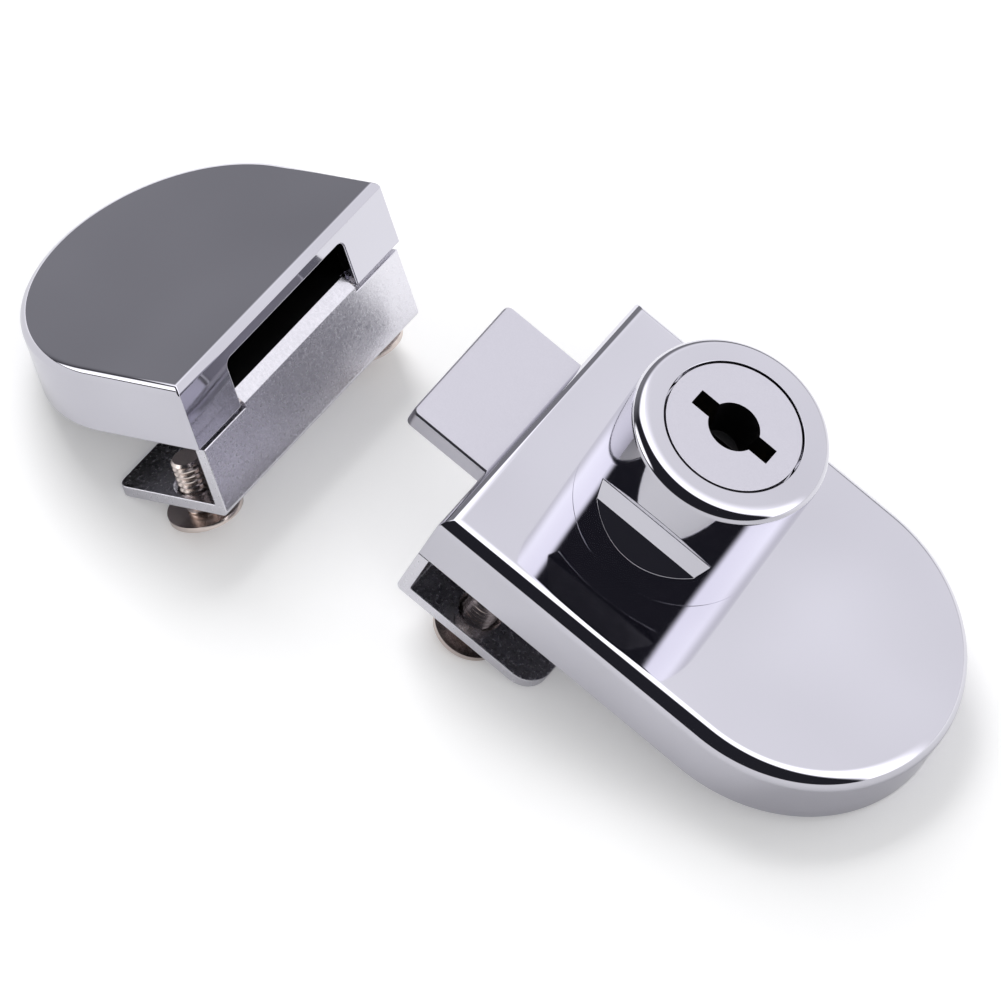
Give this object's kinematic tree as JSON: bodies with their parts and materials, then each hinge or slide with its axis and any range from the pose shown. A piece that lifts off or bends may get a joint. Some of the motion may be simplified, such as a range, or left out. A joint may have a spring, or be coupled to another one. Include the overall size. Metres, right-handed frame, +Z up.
{
  "type": "glass door lock",
  "caption": "Clamp-on lock for paired glass cabinet doors: a D-shaped lock with a raised key barrel and sliding bolt, and a D-shaped strike.",
  "frame": {"origin": "middle of the overall box, on the surface that both units lie on", "axes": "+Z up, +X from the strike unit towards the round end of the lock unit, along the bolt's plan direction"},
  "size_m": [0.1134, 0.0477, 0.0379],
  "materials": {
    "polished_chrome": "mirror bright",
    "bent_chrome": "bright, fine grain on the front",
    "satin_steel": "satin",
    "screw_nickel": "warm nickel",
    "inner_steel": "plain",
    "wafer_brass": "plain"
  },
  "bodies": {
    "lock": {"lock_casing": "polished_chrome", "lock_barrel": "polished_chrome", "barrel_screws": "inner_steel", "lock_bracket": "bent_chrome", "lock_bracket_screws": "inner_steel"},
    "plug": {"key_plug": "satin_steel", "wafer_1": "wafer_brass", "wafer_2": "wafer_brass", "wafer_3": "wafer_brass", "wafer_4": "wafer_brass", "wafer_5": "wafer_brass", "wafer_6": "wafer_brass", "wafer_springs": "inner_steel", "plug_clip": "inner_steel", "drive_cam": "inner_steel", "cam_screw": "inner_steel"},
    "bolt": {"bolt": "satin_steel"},
    "lock_screw_near": {"lock_clamp_screw_near": "screw_nickel"},
    "lock_screw_far": {"lock_clamp_screw_far": "screw_nickel"},
    "strike": {"strike_casing": "polished_chrome", "strike_bracket": "bent_chrome", "strike_bracket_screws": "inner_steel"},
    "strike_screw_near": {"strike_clamp_screw_near": "screw_nickel"},
    "strike_screw_far": {"strike_clamp_screw_far": "screw_nickel"}
  },
  "joints": [
    {"name": "key_turn", "type": "hinge", "parent": "lock", "child": "plug", "pos_m": [0.02391, 0.00335, 0.03559], "axis": [0.2214, 0, 0.9752], "range_deg": [-90, 0]},
    {"name": "bolt_throw", "type": "slide", "parent": "lock", "child": "bolt", "axis": [0.9752, 0, -0.2214], "range_m": [0, 0.0105]},
    {"name": "lock_clamp_near", "type": "slide", "parent": "lock", "child": "lock_screw_near", "axis": [0.2214, 0, 0.9752], "range_m": [-0.0035, 0.0015]},
    {"name": "lock_clamp_far", "type": "slide", "parent": "lock", "child": "lock_screw_far", "axis": [0.2214, 0, 0.9752], "range_m": [-0.0035, 0.0015]},
    {"name": "strike_lift", "type": "slide", "parent": "lock", "child": "strike", "axis": [0, 0, 1], "range_m": [0, 0.03]},
    {"name": "strike_clamp_near", "type": "slide", "parent": "strike", "child": "strike_screw_near", "axis": [-0.4999, 0.0096, 0.866], "range_m": [-0.0034, 0.0018]},
    {"name": "strike_clamp_far", "type": "slide", "parent": "strike", "child": "strike_screw_far", "axis": [-0.4999, 0.0096, 0.866], "range_m": [-0.0034, 0.0018]}
  ],
  "couplings": [
    {"joint": "key_turn", "follows": "bolt_throw", "rad_per_m": -149.6}
  ]
}
